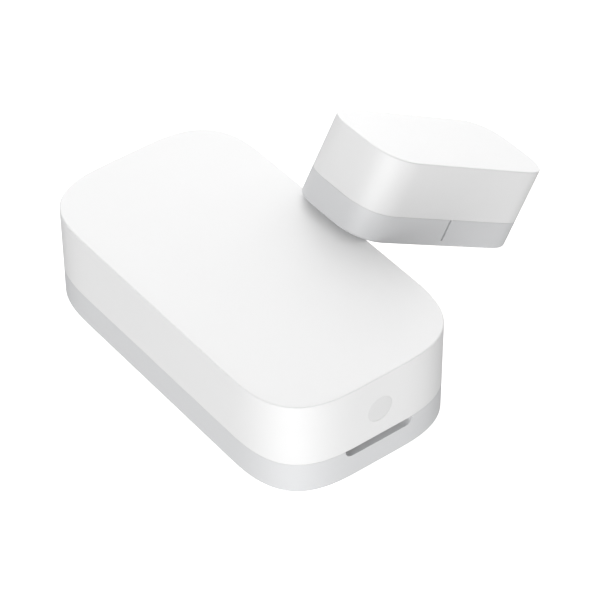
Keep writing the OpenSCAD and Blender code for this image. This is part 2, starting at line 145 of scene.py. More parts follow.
# Parts on the board's underside: middles, and turns in degrees
RADIO = (-2.6, -5.6)
RADIO_W = 5.0
CRYSTAL = (3.4, -5.2)
BULK = (4.6, -9.6)
CAPACITORS = [(-6.4, 1.6 * i - 8.6, 0) for i in range(3)]
CAPACITORS += [(1.4, -9.6, 90), (2.9, -9.6, 90), (5.9, -2.4, 0)]
RESISTORS = [(-6.4, -3.6, 0), (-6.4, -2.2, 0), (1.4, -1.8, 90), (2.7, -1.8, 90), (6.4, -5.2, 0)]


def magnet_place():
    """Where the magnet unit's own frame lies: its middle, on the plane of its base's rim."""
    back = mounts["magnet_back"]
    out = Vector(back["axis"])
    tilt = atan2(-out.x, -out.z)
    origin = Vector(back["pos_m"]) - out * LINER_T * MM
    return Matrix.Translation(origin) @ Matrix.Rotation(tilt, 4, "Y")


# ---- mesh helpers ----


def outline(w, l, r, e, n=CORNER_POINTS):
    """Rectangle w by l whose corners are superellipse arcs of size r, with n steps each."""
    points = []
    for q in range(4):
        x = (w / 2 - r) * (1 if q in (0, 3) else -1)
        y = (l / 2 - r) * (1 if q < 2 else -1)
        for i in range(n + 1):
            a = radians(90 * (q + i / n))
            k = r * (abs(cos(a)) ** e + abs(sin(a)) ** e) ** (-1 / e)
            points.append((x + k * cos(a), y + k * sin(a)))
    return points


def inset(body, by, z, n=CORNER_POINTS):
    """Ring at height z, inside a body's outline by that much."""
    w, l, r, e = body
    return [(x, y, z) for x, y in outline(w - 2 * by, l - 2 * by, r - by, e, n)]


def quarter(steps):
    """Angles from 0 to 90 degrees."""
    return [radians(90 * i / steps) for i in range(steps + 1)]


def arc(by, z, r, start, end, steps=6):
    """(inset, height) points on an arc round (by, z), from angle start to end in degrees."""
    angles = [radians(start + (end - start) * i / steps) for i in range(steps + 1)]
    return [(by + r * cos(a), z + r * sin(a)) for a in angles]


def bridge(bm, rows):
    """Faces between rows of points, each of which is a closed ring or a single point."""
    for a, b in zip(rows, rows[1:]):
        steps = max(len(a), len(b))
        for i in range(steps):
            j = (i + 1) % steps
            corners = [a[i % len(a)], a[j % len(a)], b[j % len(b)], b[i % len(b)]]
            unique = list(dict.fromkeys(corners))
            if len(unique) > 2:
                bm.faces.new(unique)


def loft(rings):
    """Closed solid through rings of as many points each, capped at the first and the last."""
    bm = bmesh.new()
    rows = [[bm.verts.new(p) for p in ring] for ring in rings]
    bridge(bm, rows)
    bm.faces.new(rows[0])
    bm.faces.new(rows[-1])
    bmesh.ops.recalc_face_normals(bm, faces=bm.faces)
    return bm


def prism(points, height):
    """Solid between z 0 and height over a flat outline."""
    return loft([[(x, y, 0) for x, y in points], [(x, y, height) for x, y in points]])


def circle(bm, r, z, steps):
    """Points round Z, or the one point on the axis where r is 0."""
    if r < 1e-6:
        return [bm.verts.new((0, 0, z))]
    angles = [2 * pi * i / steps for i in range(steps)]
    return [bm.verts.new((r * cos(a), r * sin(a), z)) for a in angles]


def turned(profile, steps=96):
    """Solid turned round Z from (radius, height) points, whose ends are on the axis."""
    bm = bmesh.new()
    bridge(bm, [circle(bm, r, z, steps) for r, z in profile])
    bmesh.ops.recalc_face_normals(bm, faces=bm.faces)
    return bm


def ring_of(profile, steps=96):
    """Solid turned round Z from a closed (radius, height) outline that stays off the axis."""
    bm = bmesh.new()
    rows = [circle(bm, r, z, steps) for r, z in profile]
    bridge(bm, rows + rows[:1])
    bmesh.ops.recalc_face_normals(bm, faces=bm.faces)
    return bm


def block(lo, hi):
    """Box between two corners."""
    bm = bmesh.new()
    bmesh.ops.create_cube(bm, size=1)
    bmesh.ops.scale(bm, vec=Vector(hi) - Vector(lo), verts=bm.verts)
    bmesh.ops.translate(bm, vec=(Vector(hi) + Vector(lo)) / 2, verts=bm.verts)
    return bm


def placed(bm, place):
    """The same mesh after it is moved by a matrix."""
    bmesh.ops.transform(bm, matrix=place, verts=bm.verts)
    return bm


def joined(parts):
    """One mesh of several; the parts are used up."""
    whole = bmesh.new()
    for part in parts:
        mesh = bpy.data.meshes.new("part")
        part.to_mesh(mesh)
        part.free()
        whole.from_mesh(mesh)
        bpy.data.meshes.remove(mesh)
    return whole


def as_object(name, bm):
    """Object in the scene from a mesh that is used up."""
    mesh = bpy.data.meshes.new(name)
    bm.to_mesh(mesh)
    bm.free()
    obj = bpy.data.objects.new(name, mesh)
    bpy.context.scene.collection.objects.link(obj)
    return obj


def combine(bm, tool, how):
    """The solid after a boolean with tool: UNION or DIFFERENCE."""
    obj = as_object("combined", bm)
    other = as_object("tool", tool)
    change = obj.modifiers.new("boolean", "BOOLEAN")
    change.operation = how
    change.solver = "EXACT"
    change.object = other
    result = bpy.data.meshes.new_from_object(
        obj.evaluated_get(bpy.context.evaluated_depsgraph_get())
    )
    out = bmesh.new()
    out.from_mesh(result)
    for used in (obj, other):
        bpy.data.objects.remove(used)
    bmesh.ops.remove_doubles(out, verts=out.verts, dist=MERGE)
    bmesh.ops.dissolve_degenerate(out, edges=out.edges, dist=MERGE)
    return out


def along_y(x, z):
    """Turns what is drawn round Z so that it points along +Y, and puts it at x and z."""
    return Matrix.Translation((x, 0, z)) @ Matrix.Rotation(-pi / 2, 4, "X")


def shaded(obj, angle):
    """Smooth shading that stays sharp at edges that turn more than an angle in degrees."""
    obj.data.shade_smooth()
    obj.data.set_sharp_from_angle(angle=radians(angle))
    weighted = obj.modifiers.new("weighted", "WEIGHTED_NORMAL")
    weighted.keep_sharp = True
    return obj


# ---- materials ----


class Shader:
    """A Principled material, whose nodes are made by short calls."""

    def __init__(self, name, color, roughness, **sockets):
        self.material = bpy.data.materials.new(name)
        self.material.use_nodes = True
        self.material.diffuse_color = (*color, 1)
        self.tree = self.material.node_tree
        self.bsdf = self.tree.nodes["Principled BSDF"]
        self.bsdf.inputs["Base Color"].default_value = (*color, 1)
        self.bsdf.inputs["Roughness"].default_value = roughness
        for socket, value in sockets.items():
            self.bsdf.inputs[socket.replace("_", " ")].default_value = value
        self.position = self.node("ShaderNodeTexCoord").outputs["Object"]

    def node(self, kind, inputs=None, **settings):
        """A new node: each input is a value or the socket that feeds it."""
        made = self.tree.nodes.new(kind)
        for key, value in settings.items():
            setattr(made, key, value)
        for key, value in (inputs or {}).items():
            if isinstance(value, bpy.types.NodeSocket):
                self.tree.links.new(value, made.inputs[key])
            else:
                made.inputs[key].default_value = value
        return made

    def feed(self, socket, value):
        """Links an output to one of the shader's own sockets."""
        self.tree.links.new(value, self.bsdf.inputs[socket])

    def scaled(self, size_mm, stretch=(1, 1, 1)):
        """The position counted in steps of size_mm; stretch multiplies it along an axis."""
        inputs = {"Vector": self.position, "Scale": Vector(stretch) / (size_mm * MM)}
        return self.node("ShaderNodeMapping", inputs).outputs[0]

    def noise(self, size_mm, detail=2.0, stretch=(1, 1, 1)):
        """Noise whose features are about size_mm across; stretch divides them along an axis."""
        inputs = {"Vector": self.scaled(size_mm, stretch), "Scale": 1.0, "Detail": detail}
        return self.node("ShaderNodeTexNoise", inputs).outputs["Fac"]

    def cells(self, size_mm):
        """Distance from the middle of Voronoi cells about size_mm across."""
        inputs = {"Vector": self.scaled(size_mm), "Scale": 1.0}
        return self.node("ShaderNodeTexVoronoi", inputs).outputs["Distance"]

    def spread(self, value, low, high, at=0.35, to=0.65):
        """A value between at and to, stretched to run from low to high."""
        made = self.node(
            "ShaderNodeMapRange",
            {"Value": value, "From Min": at, "From Max": to, "To Min": low, "To Max": high},
        )
        return made.outputs["Result"]

    def math(self, operation, a, b=0.0):
        """The result of a Math node on two numbers or outputs."""
        made = self.node("ShaderNodeMath", {0: a, 1: b}, operation=operation)
        return made.outputs[0]

    def blend(self, factor, a, b):
        """Colour a where factor is 0, b where it is 1."""
        made = self.node("ShaderNodeMix", {"Factor": factor}, data_type="RGBA")
        for slot, value in ((MIX_A, a), (MIX_B, b)):
            if isinstance(value, bpy.types.NodeSocket):
                self.tree.links.new(value, made.inputs[slot])
            else:
                made.inputs[slot].default_value = (*value[:3], 1)
        return made.outputs[MIX_RESULT]

    def edges(self, radius_mm):
        """0 on flat ground, rising to 1 within radius_mm of an edge."""
        rounded = self.node("ShaderNodeBevel", {"Radius": radius_mm * MM}, samples=4)
        plain = self.node("ShaderNodeNewGeometry")
        same = self.node(
            "ShaderNodeVectorMath",
            {0: rounded.outputs[0], 1: plain.outputs["Normal"]},
            operation="DOT_PRODUCT",
        )
        return self.spread(same.outputs["Value"], 1.0, 0.0, at=0.75, to=1.0)

    def relief(self, *layers):
        """Bump from (height, depth in mm) layers, one on the other."""
        normal = None
        for height, depth in layers:
            inputs = {"Height": height, "Distance": depth * MM, "Strength": 1.0}
            if normal:
                inputs["Normal"] = normal
            normal = self.node("ShaderNodeBump", inputs).outputs["Normal"]
        self.feed("Normal", normal)


def shade(color, by):
    """A colour made lighter or darker by a factor."""
    return tuple(min(1.0, c * by) for c in color)


def moulded(name, color, roughness, grain_mm=0.09, grain_depth=0.0012, tint=0.992):
    """Injection-moulded plastic: spark-eroded grain, faint flow marks and edges rubbed smoother."""
    s = Shader(name, color, roughness)
    flow = s.noise(9, 1, (1, 0.4, 2))
    mottle = s.noise(0.6, 3)
    edge = s.edges(0.25)
    body = s.blend(s.spread(flow, 0, 1), color, shade(color, tint))
    body = s.blend(s.spread(mottle, 0, 0.5), body, shade(color, 0.5 + tint / 2))
    s.feed("Base Color", s.blend(s.math("MULTIPLY", edge, 0.5), body, shade(color, 1.012)))
    rough = s.spread(mottle, roughness - 0.03, roughness + 0.04)
    s.feed("Roughness", s.math("SUBTRACT", rough, s.math("MULTIPLY", edge, 0.08)))
    s.relief((s.noise(grain_mm, 2), grain_depth), (flow, 0.004))
    return s.material


def metal(name, color, roughness, stroke=(1, 1, 1), tarnish=0.88):
    """Plated or rolled sheet: fine strokes, faint tarnish in patches, brighter edges."""
    s = Shader(name, color, roughness, Metallic=1.0)
    strokes = s.noise(0.15, 1, stroke)
    patches = s.noise(1.6, 3)
    edge = s.edges(0.08)
    body = s.blend(s.spread(patches, 0, 1), color, shade(color, tarnish))
    s.feed("Base Color", s.blend(s.math("MULTIPLY", edge, 0.6), body, shade(color, 1.1)))
    wear = s.math("ADD", strokes, patches)
    s.feed("Roughness", s.spread(wear, roughness * 0.85, roughness * 1.2, at=0.7, to=1.3))
    s.relief((strokes, 0.0003))
    return s.material


def rubber(name, color):
    """Moulded rubber with a fine dull grain."""
    s = Shader(name, color, 0.7)
    grain = s.noise(0.1, 3)
    s.feed("Base Color", s.blend(s.spread(grain, 0, 1), color, shade(color, 1.5)))
    s.feed("Roughness", s.spread(grain, 0.62, 0.8))
    s.relief((grain, 0.002))
    return s.material


def ceramic(name, color, grain_mm=0.06):
    """Fired or pressed powder: mottled, and paler along its edges."""
    s = Shader(name, color, 0.55)
    grain = s.noise(grain_mm, 4)
    edge = s.edges(0.06)
    body = s.blend(s.spread(grain, 0, 1), shade(color, 0.82), shade(color, 1.15))
    s.feed("Base Color", s.blend(s.math("MULTIPLY", edge, 0.5), body, shade(color, 1.35)))
    s.feed("Roughness", s.spread(grain, 0.45, 0.65))
    s.relief((grain, 0.0015))
    return s.material


def board_material(name, color):
    """Solder mask over woven laminate, with the bare laminate on the cut edge."""
    s = Shader(name, color, 0.3, Coat_Weight=0.25, Coat_Roughness=0.15)
    threads = {"Vector": s.position, "Scale": 550.0, "Distortion": 0.4}  # 0.57 mm apart
    weave_x = s.node("ShaderNodeTexWave", threads)
    weave_y = s.node("ShaderNodeTexWave", threads, bands_direction="Y")
    weave = s.math("MULTIPLY", weave_x.outputs["Fac"], weave_y.outputs["Fac"])
    cloud = s.noise(2.2, 2)
    mask = s.blend(s.spread(cloud, 0, 1), color, shade(color, 1.35))
    mask = s.blend(s.math("MULTIPLY", weave, 0.25), mask, shade(color, 0.6))
    facing = s.node("ShaderNodeNewGeometry").outputs["True Normal"]
    upright = s.node("ShaderNodeSeparateXYZ", {0: facing}).outputs["Z"]
    cut = s.spread(s.math("ABSOLUTE", upright), 1.0, 0.0, at=0.4, to=0.6)
    laminate = s.blend(s.noise(0.2, 3, (1, 1, 5)), (0.62, 0.58, 0.36), (0.78, 0.74, 0.52))
    s.feed("Base Color", s.blend(cut, mask, laminate))
    s.feed("Roughness", s.spread(cut, 0.28, 0.8, at=0, to=1))
    s.relief((weave, 0.002), (s.noise(0.15, 2), 0.001))
    return s.material


def glass(name, color):
    """Greenish drawn glass, with faint draw lines along the tube."""
    s = Shader(name, color, 0.02, Transmission_Weight=1.0, IOR=1.5)
    lines = s.noise(0.2, 2, (1, 0.05, 1))
    s.feed("Roughness", s.spread(lines, 0.01, 0.06))
    s.relief((lines, 0.0012))
    return s.material


def foam(name, color):
    """Closed-cell acrylic foam."""
    s = Shader(name, color, 0.85)
    cells = s.cells(0.14)
    fine = s.noise(0.07, 3)
    body = s.blend(s.spread(cells, 0, 1, at=0.0, to=0.6), shade(color, 0.72), color)
    s.feed("Base Color", s.blend(s.spread(fine, 0, 0.6), body, shade(color, 0.86)))
    s.feed("Roughness", s.spread(fine, 0.75, 0.95))
    s.relief((cells, 0.03), (fine, 0.006))
    return s.material


def paper(name, color):
    """Silicone-coated glassine: long fibres, cloudy formation and a faint sheen."""
    s = Shader(name, color, 0.42)
    fibres = s.noise(0.25, 4, (1, 0.18, 1))
    cloud = s.noise(3.5, 3)
    body = s.blend(s.spread(cloud, 0, 1), color, shade(color, 0.93))
    s.feed("Base Color", s.blend(s.spread(fibres, 0, 0.6), body, shade(color, 0.9)))
    s.feed("Roughness", s.spread(fibres, 0.35, 0.55))
    s.relief((fibres, 0.003), (cloud, 0.01))
    return s.material


def lens(name, color):
    """Milky epoxy over the light's die, yellowish in patches."""
    s = Shader(name, color, 0.25, Transmission_Weight=0.35, IOR=1.52)
    haze = s.noise(0.3, 3)
    s.feed("Base Color", s.blend(s.spread(haze, 0, 1), color, (0.95, 0.86, 0.5)))
    s.feed("Roughness", s.spread(haze, 0.2, 0.35))
    s.relief((s.noise(0.08, 2), 0.0015))
    return s.material


def make_materials():
    """One material for each slot of the record, and two more for what lies on the board."""
    made = {}

    def add(make, name, *values, **named):
        made[name] = make(name, *values, **named)

    add(moulded, "white_plastic", (0.82, 0.82, 0.82), 0.38)
    add(moulded, "grey_plastic", (0.67, 0.675, 0.684), 0.4)
    add(moulded, "button_plastic", (0.755, 0.755, 0.755), 0.42)
    add(moulded, "black_plastic", (0.03, 0.03, 0.033), 0.45, 0.09, 0.002, tint=0.8)
    add(rubber, "dark_rubber", (0.03, 0.03, 0.032))
    add(board_material, "board", (0.012, 0.12, 0.055))
    add(moulded, "mask_on_copper", (0.035, 0.25, 0.115), 0.3, 0.15, 0.001, tint=0.85)
    add(moulded, "board_ink", (0.8, 0.8, 0.78), 0.6, 0.05, 0.001, tint=0.9)
    add(moulded, "chip_black", (0.025, 0.025, 0.028), 0.55, 0.05, 0.002, tint=0.7)
    add(metal, "tin_plate", (0.8, 0.8, 0.78), 0.3)
    add(metal, "spring_steel", (0.66, 0.66, 0.66), 0.32, stroke=(1, 0.08, 1))
    add(metal, "nickel", (0.78, 0.77, 0.74), 0.2, stroke=(1, 1, 0.2))
    add(metal, "gold_pads", (0.9, 0.66, 0.3), 0.28)
    add(metal, "copper_track", (0.8, 0.4, 0.22), 0.35, tarnish=0.7)
    add(ceramic, "tan_ceramic", (0.45, 0.28, 0.15))
    add(ceramic, "dark_ceramic", (0.07, 0.06, 0.055))
    add(ceramic, "cell_pellet", (0.04, 0.04, 0.04), grain_mm=0.12)
    add(moulded, "yellow_epoxy", (0.62, 0.36, 0.04), 0.45, 0.06, 0.002, tint=0.85)
    add(lens, "led_lens", (0.86, 0.88, 0.8))
    add(glass, "clear_glass", (0.86, 0.96, 0.9))
    add(foam, "foam_pad", (0.72, 0.72, 0.71))
    add(paper, "liner_paper", (0.84, 0.78, 0.62))
    return made


materials = make_materials()


def piece(name, bm, body, slot, stands_for=(), place=Matrix(), angle=PIECE_SHARP, look=None):
    """A finished piece from a mesh in millimetres, with its slot's material or its own look."""
    obj = shaded(as_object(name, placed(bm, place @ Matrix.Scale(MM, 4))), angle)
    obj.data.materials.append(materials[look or slot])
    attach(obj, body)
    if stands_for:
        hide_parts(*stands_for)
    return obj


# ---- the sensor unit's mouldings ----


def board_post(x, y):
    """Post under the shell's top, with a pin through the board and a melted head below it."""
    post_r, chamfer, pin_r, head_r, head_h = 1.2, 0.1, 0.55, 0.95, 0.45
    root = TOP_Z - WALL + 0.3
    head = [(head_r * sin(a), BOARD_LO.z - head_h * cos(a)) for a in quarter(10)]
    profile = head + [
        (pin_r, BOARD_LO.z),
        (pin_r, BOARD_HI.z),
        (post_r - chamfer, BOARD_HI.z),
        (post_r, BOARD_HI.z + chamfer),
        (post_r, root),
        (0, root),
    ]
    return placed(turned(profile, 48), Matrix.Translation((x, y, 0)))


def shell_rings(body, seam, top):
    """A moulded cap: ceiling, inner wall, seam face, outer wall, rounded top edge."""
    fillet, chamfer = 0.4, 0.1
    steps = arc(WALL + fillet, top - WALL - fillet, fillet, 90, 180, 4)
    steps += [(WALL, seam + chamfer), (WALL - chamfer, seam), (0, seam)]
    steps += arc(TOP_ROUND, top - TOP_ROUND, TOP_ROUND, 180, 90)
    return [inset(body, by, z) for by, z in steps]


def snap_groove(side, y):
    """What the shell's inner wall leaves open for a snap rib; side is -1 or 1."""
    x = side * (SENSOR[0] / 2 - WALL)
    deep, half_l, half_h = 0.2, RIB_L / 2 + 0.2, 0.25
    return block((x - deep, y - half_l, RIB_Z - half_h), (x + deep, y + half_l, RIB_Z + half_h))


def sensor_shell():
    """The white upper part, with its snap grooves, the button's hole and the board's posts."""
    near, far = END_Y - OVER, END_Y + WALL + OVER
    hole = turned([(0, near), (BUTTON_HOLE_R, near), (BUTTON_HOLE_R, far), (0, far)])
    tools = [snap_groove(side, y) for side in (-1, 1) for y in RIB_YS]
    tools.append(placed(hole, along_y(0, BUTTON_Z)))
    shell = combine(loft(shell_rings(SENSOR, SEAM_Z, TOP_Z)), joined(tools), "DIFFERENCE")
    shell = combine(shell, joined([board_post(x, y) for x, y in BOARD_PINS]), "UNION")
    return piece("shell", shell, "housing", "white_plastic", ["sensor_shell"])


def slot_tool():
    """What the prying slot leaves open: rounded at its two lower corners."""
    foot, rim = BASE_TOP - SLOT_H, BASE_TOP + 0.3
    flat = SLOT_HALF - SLOT_R
    right = [(flat + SLOT_R * sin(a), foot + SLOT_R - SLOT_R * cos(a)) for a in quarter(10)]
    left = [(-x, z) for x, z in reversed(right)]
    tool = prism([(-SLOT_HALF, rim)] + left + right + [(SLOT_HALF, rim)], SLOT_D + OVER)
    stand = Matrix.Translation((0, END_Y + SLOT_D, 0)) @ Matrix.Rotation(pi / 2, 4, "X")
    return placed(tool, stand)


def snap_rib(side, y):
    """Low ridge on the lip's long side, which clicks into the shell's groove."""
    x = SENSOR[0] / 2 - WALL - LIP_GAP
    points = [(-0.1, -0.2), (0.04, -0.13), (0.08, -0.05), (0.08, 0.05), (0.04, 0.13), (-0.1, 0.2)]
    turn = Matrix.Scale(side, 4, (1, 0, 0)) @ Matrix.Rotation(pi / 2, 4, "X")
    place = Matrix.Translation((side * x, y + RIB_L / 2, RIB_Z)) @ turn
    rib = placed(prism(points, RIB_L), place)
    bmesh.ops.recalc_face_normals(rib, faces=rib.faces)
    return rib


def ejector_mark(x, y, z):
    """What a mould's ejector pin leaves open: a disc sunk a little into the surface at z."""
    r, chamfer, deep, shallow, over = 1.2, 0.05, 0.07, 0.02, 0.5
    profile = [(0, -deep), (r - chamfer, -deep), (r, -shallow), (r, over), (0, over)]
    return placed(turned(profile, 48), Matrix.Translation((x, y, z)))


def cell_rest(x, floor):
    """Low rib on the base's floor, just clear of the coin cell."""
    half_w, half_l, sunk, clear = 0.4, 5, 0.1, 0.1
    low = (x - half_w, CELL_Y - half_l, floor - sunk)
    return block(low, (x + half_w, CELL_Y + half_l, CAN_LO.z - clear))


def recess_rings(body, by, depth_z, rim):
    """The pad's recess in a base, with a chamfered mouth."""
    chamfer = 0.12
    steps = [(by, depth_z), (by, rim + chamfer), (by - chamfer, rim)]
    return [inset(body, b, z) for b, z in steps]


def base_rings(body, rim, top, lip, floor):
    """A moulded tray: foot, outer wall, seam face, lip and floor."""
    lead, edge, fillet = 0.15, 0.1, 0.3
    outer = WALL + LIP_GAP
    inner = outer + LIP_T
    steps = arc(FOOT_ROUND, rim + FOOT_ROUND, FOOT_ROUND, 270, 180)
    steps += [(0, top), (outer, top), (outer, lip - lead), (outer + lead, lip)]
    steps += [(inner - edge, lip), (inner, lip - edge)]
    steps += [(inner, floor + fillet), (inner + fillet, floor)]
    return [inset(body, by, z) for by, z in steps]


def sensor_base():
    """The grey lower part, with its slot, mark, snap ribs and what the mould leaves inside."""
    floor = RECESS_Z + FLOOR_T
    rings = recess_rings(SENSOR, RECESS_IN, RECESS_Z, RIM_Z)
    base = loft(rings + base_rings(SENSOR, RIM_Z, BASE_TOP, LIP_Z, floor))
    side, half_w = SENSOR[0] / 2, MARK_W / 2
    mark = block(
        (side - MARK_D, -half_w, RIM_Z + MARK_FOOT),
        (side + OVER, half_w, SEAM_Z + OVER),
    )
    pins = [ejector_mark(s * x, y, floor) for s in (-1, 1) for x, y in EJECTOR_PINS]
    base = combine(base, joined([slot_tool(), mark] + pins), "DIFFERENCE")
    rests = [cell_rest(x, floor) for x in (-4, 4)]
    ribs = [snap_rib(s, y) for s in (-1, 1) for y in RIB_YS]
    base = combine(base, joined(rests + ribs), "UNION")
    return piece("base", base, "back_cover", "grey_plastic", ["sensor_base"])


def function_button():
    """A stepped disc; its face is all but flush with the wall and falls off at its rim."""
    sunk, fall_w, fall_h, flange_t = 0.004, 0.22, 0.02, 0.6
    face = END_Y + sunk
    back = BUTTON_HI.y - face
    r = BUTTON_HOLE_R - BUTTON_CLEAR
    flange_r = (BUTTON_HI.x - BUTTON_LO.x) / 2
    profile = [(0, 0)]
    profile += [(r - fall_w + fall_w * sin(a), fall_h - fall_h * cos(a)) for a in quarter(6)]
    profile += [(r, back - flange_t), (flange_r, back - flange_t), (flange_r, back), (0, back)]
    button = placed(turned(profile), Matrix.Translation((0, face, 0)) @ along_y(0, BUTTON_Z))
    return piece("button", button, "button", "button_plastic", ["function_button"])


def switch_leaf():
    """Bowed strip of spring steel behind the switch's stem, drawn in its bowed shape; on the real
    switch it goes flat as the stem comes in.
    """
    lo, hi = box_mm("switch_leaf")
    steps, thick, bevel = 10, 0.06, 0.012
    bow = hi.y - lo.y - thick
    rings = []
    for i in range(-steps, steps + 1):
        x = hi.x * i / steps
        y0 = lo.y + bow * i * i / steps**2
        y1 = y0 + thick
        ring = [(y0 + bevel, lo.z), (y1 - bevel, lo.z), (y1, lo.z + bevel), (y1, hi.z - bevel)]
        ring += [(y1 - bevel, hi.z), (y0 + bevel, hi.z), (y0, hi.z - bevel), (y0, lo.z + bevel)]
        rings.append([(x, *point) for point in ring])
    leaf = piece("bowed_leaf", loft(rings), "housing", "spring_steel", ["switch_leaf"])
    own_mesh(leaf)


# ---- adhesive pads and their release liners ----


def pad(name, body, by, z0, z1, rides, stands_for, place=Matrix()):
    """Die-cut foam, whose cut sides pull in a little at mid height."""
    chamfer, edge, waist = 0.04, 0.05, 0.05
    steps = [(by + chamfer, z0), (by, z0 + edge), (by + waist, (z0 + z1) / 2)]
    steps += [(by, z1 - edge), (by + chamfer, z1)]
    foam_pad = loft([inset(body, b, z) for b, z in steps])
    return piece(name, foam_pad, rides, "foam_pad", [stands_for], place)


def liner(name, body, by, z0, z1, rides, stands_for, place=Matrix()):
    """Release paper, split across the middle so that it can be peeled from the pad."""
    w, l = body[:2]
    steps, waves, swing, half_gap = 96, 6, 0.45, 0.04
    whole = loft([inset(body, by, z0), inset(body, by, z1)])
    turns = [i / steps for i in range(steps + 1)]
    wave = [(w * (2 * t - 1), swing * sin(2 * pi * waves * t)) for t in turns]
    line = [(x, y - half_gap) for x, y in wave] + [(x, y + half_gap) for x, y in reversed(wave)]
    cut = prism(line, z1 - z0 + 2 * OVER)
    placed(cut, Matrix.Translation((0, 0, z0 - OVER)))
    if w > l:
        placed(cut, Matrix.Rotation(pi / 2, 4, "Z"))
    halves = combine(whole, cut, "DIFFERENCE")
    return piece(name, halves, rides, "liner_paper", [stands_for], place)


# ---- the magnet unit ----


def bar_ribs(z0, z1):
    """Two ribs that hold the bar magnet from above or below."""
    x, half_w, half_l = 5, 0.5, 2
    return [
        block((middle - half_w, -half_l, z0), (middle + half_w, half_l, z1)) for middle in (-x, x)
    ]


def magnet_unit():
    """Cap, tray, pad and liner, all drawn flat and leaned together."""
    into_top, into_floor = 0.2, 0.1
    place = magnet_place()
    seam = MAG_BASE_H + SEAM_GAP
    shell = loft(shell_rings(MAGNET, seam, MAG_H))
    shell = combine(shell, joined(bar_ribs(BAR_TOP, MAG_H - WALL + into_top)), "UNION")
    piece("magnet_cap", shell, "magnet_unit", "white_plastic", ["magnet_shell"], place)

    floor = MAG_PAD_T + MAG_FLOOR_T
    rings = recess_rings(MAG_RECESS, 0, MAG_PAD_T, 0)
    base = loft(rings + base_rings(MAGNET, 0, MAG_BASE_H, seam + LIP_H, floor))
    mark = block(
        (MAG_MARK_X - MARK_W / 2, -MAG_W, MARK_FOOT),
        (MAG_MARK_X + MARK_W / 2, MARK_D - MAG_W / 2, seam + OVER),
    )
    base = combine(base, mark, "DIFFERENCE")
    base = combine(base, joined(bar_ribs(floor - into_floor, BAR_FOOT)), "UNION")
    piece("magnet_tray", base, "magnet_unit", "grey_plastic", ["magnet_base"], place)
    pad("magnet_foam", MAG_PAD, 0, 0, MAG_PAD_T, "magnet_unit", "magnet_pad", place)
    liner("magnet_paper", MAG_LINER, 0, -LINER_T, 0, "magnet_unit", "magnet_liner", place)


# ---- the circuit board's tracks, solder and printing, all on its underside ----


def on_board(x, y, turn=0):
    """Where something drawn round z 0 goes on the underside, after a turn in degrees."""
    return Matrix.Translation((x, y, BOARD_LO.z)) @ Matrix.Rotation(radians(turn), 4, "Z")


def strip(points, width, proud):
    """Flat band along points on the board's underside, mitred where it turns."""
    rings = []
    last = len(points) - 1
    low, high = BOARD_LO.z - proud, BOARD_LO.z + SUNK
    for i, (x, y) in enumerate(points):
        there = Vector(points[min(i + 1, last)]) - Vector(points[min(i, last - 1)])
        here = Vector(points[max(i, 1)]) - Vector(points[max(i - 1, 0)])
        side = there.normalized() + here.normalized()
        side = Vector((-side.y, side.x)).normalized()
        half = side * (width / 2 / abs(side.cross(here.normalized())))
        corners = ((half, low), (-half, low), (-half, high), (half, high))
        rings.append([(x + out.x, y + out.y, z) for out, z in corners])
    return loft(rings)


def board_tracks():
    """Copper tracks under the solder mask: they stand a little proud of it."""
    width, proud = 0.22, 0.03
    x, y = RADIO
    side = RADIO_W / 2 + 0.2
    routes = [
        [(x - side, y - 1.1), (-5.7, -7)],
        [(x - side, y + 0.38), (-5.7, -5.4)],
        [(x - side, y + 1.9), (-5.7, -3.6)],
        [(-7.1, -8.6), (-7.8, -8.6), (-8.1, -8.3), (-8.1, -2.4), (-7.6, -1.9)],
        [(-7.1, -7), (-8.1, -7)],
        [(-7.1, -5.4), (-8.1, -5.4)],
        [(-7.1, -3.6), (-8.1, -3.6)],
        [(-5.7, -2.2), (-4.9, -1.4), (-4.9, 0.4), (-4, 1.3), (-4, 4)],
        [(x - 1.1, y - side), (x - 1.1, -11.2), (-4, -11.5), (-4, -13.4)],
        [(x + 1.1, y - side), (-1.6, -8.4), (-1.6, -10.2)],
        [(x + 1.9, y - side), (-0.2, -8.9), (1.4, -8.9)],
        [(-2.6, y - side), (-2.6, -11.8), (-2.2, -12.2), (3.2, -12.2), (4.6, -11.3)],
        [(x + side, y + 0.38), (1.9, -5.2)],
        [(x + side, y - 0.38), (0.6, -6), (1.1, -6.5), (4.6, -6.5), (5, -6.1)],
        [(x + side, y + 1.1), (0.8, -3.9), (0.8, -3.1), (1.4, -2.5)],
        [(x + side, y + 1.9), (0.4, -3.4), (0.4, -0.4), (1.2, 0.4), (2.2, 1.4), (2.2, 3.6)],
        [(x + 0.4, y + side), (x + 0.4, 0.2), (-1.4, 1), (-1.4, 3.6)],
        [(x - 0.4, y + side), (x - 0.4, 0.6)],
        [(2.7, -2.5), (3.4, -3.1), (4.8, -3.1), (5.3, -2.6)],
        [(2.7, -1.1), (2.7, -0.3), (3.2, 0.2), (6.2, 0.2), (7.6, -1.2), (8.4, -1.2)],
        [(6.6, -2.4), (7.5, -3.3), (7.5, -4.2), (7, -5.2)],
        [(5.7, -5.2), (5.7, -6.2), (6.9, -7.4)],
        [(7.4, -10), (6.4, -10.9), (6.4, -11.3)],
        [(2.9, -10.3), (2.9, -11), (3.3, -11.4), (4.4, -11.4)],
        [(1.4, -10.3), (0.7, -11), (0.1, -11)],
    ]
    bands = [strip(route, width, proud) for route in routes]
    piece("board_tracks", joined(bands), "housing", "board", look="mask_on_copper")


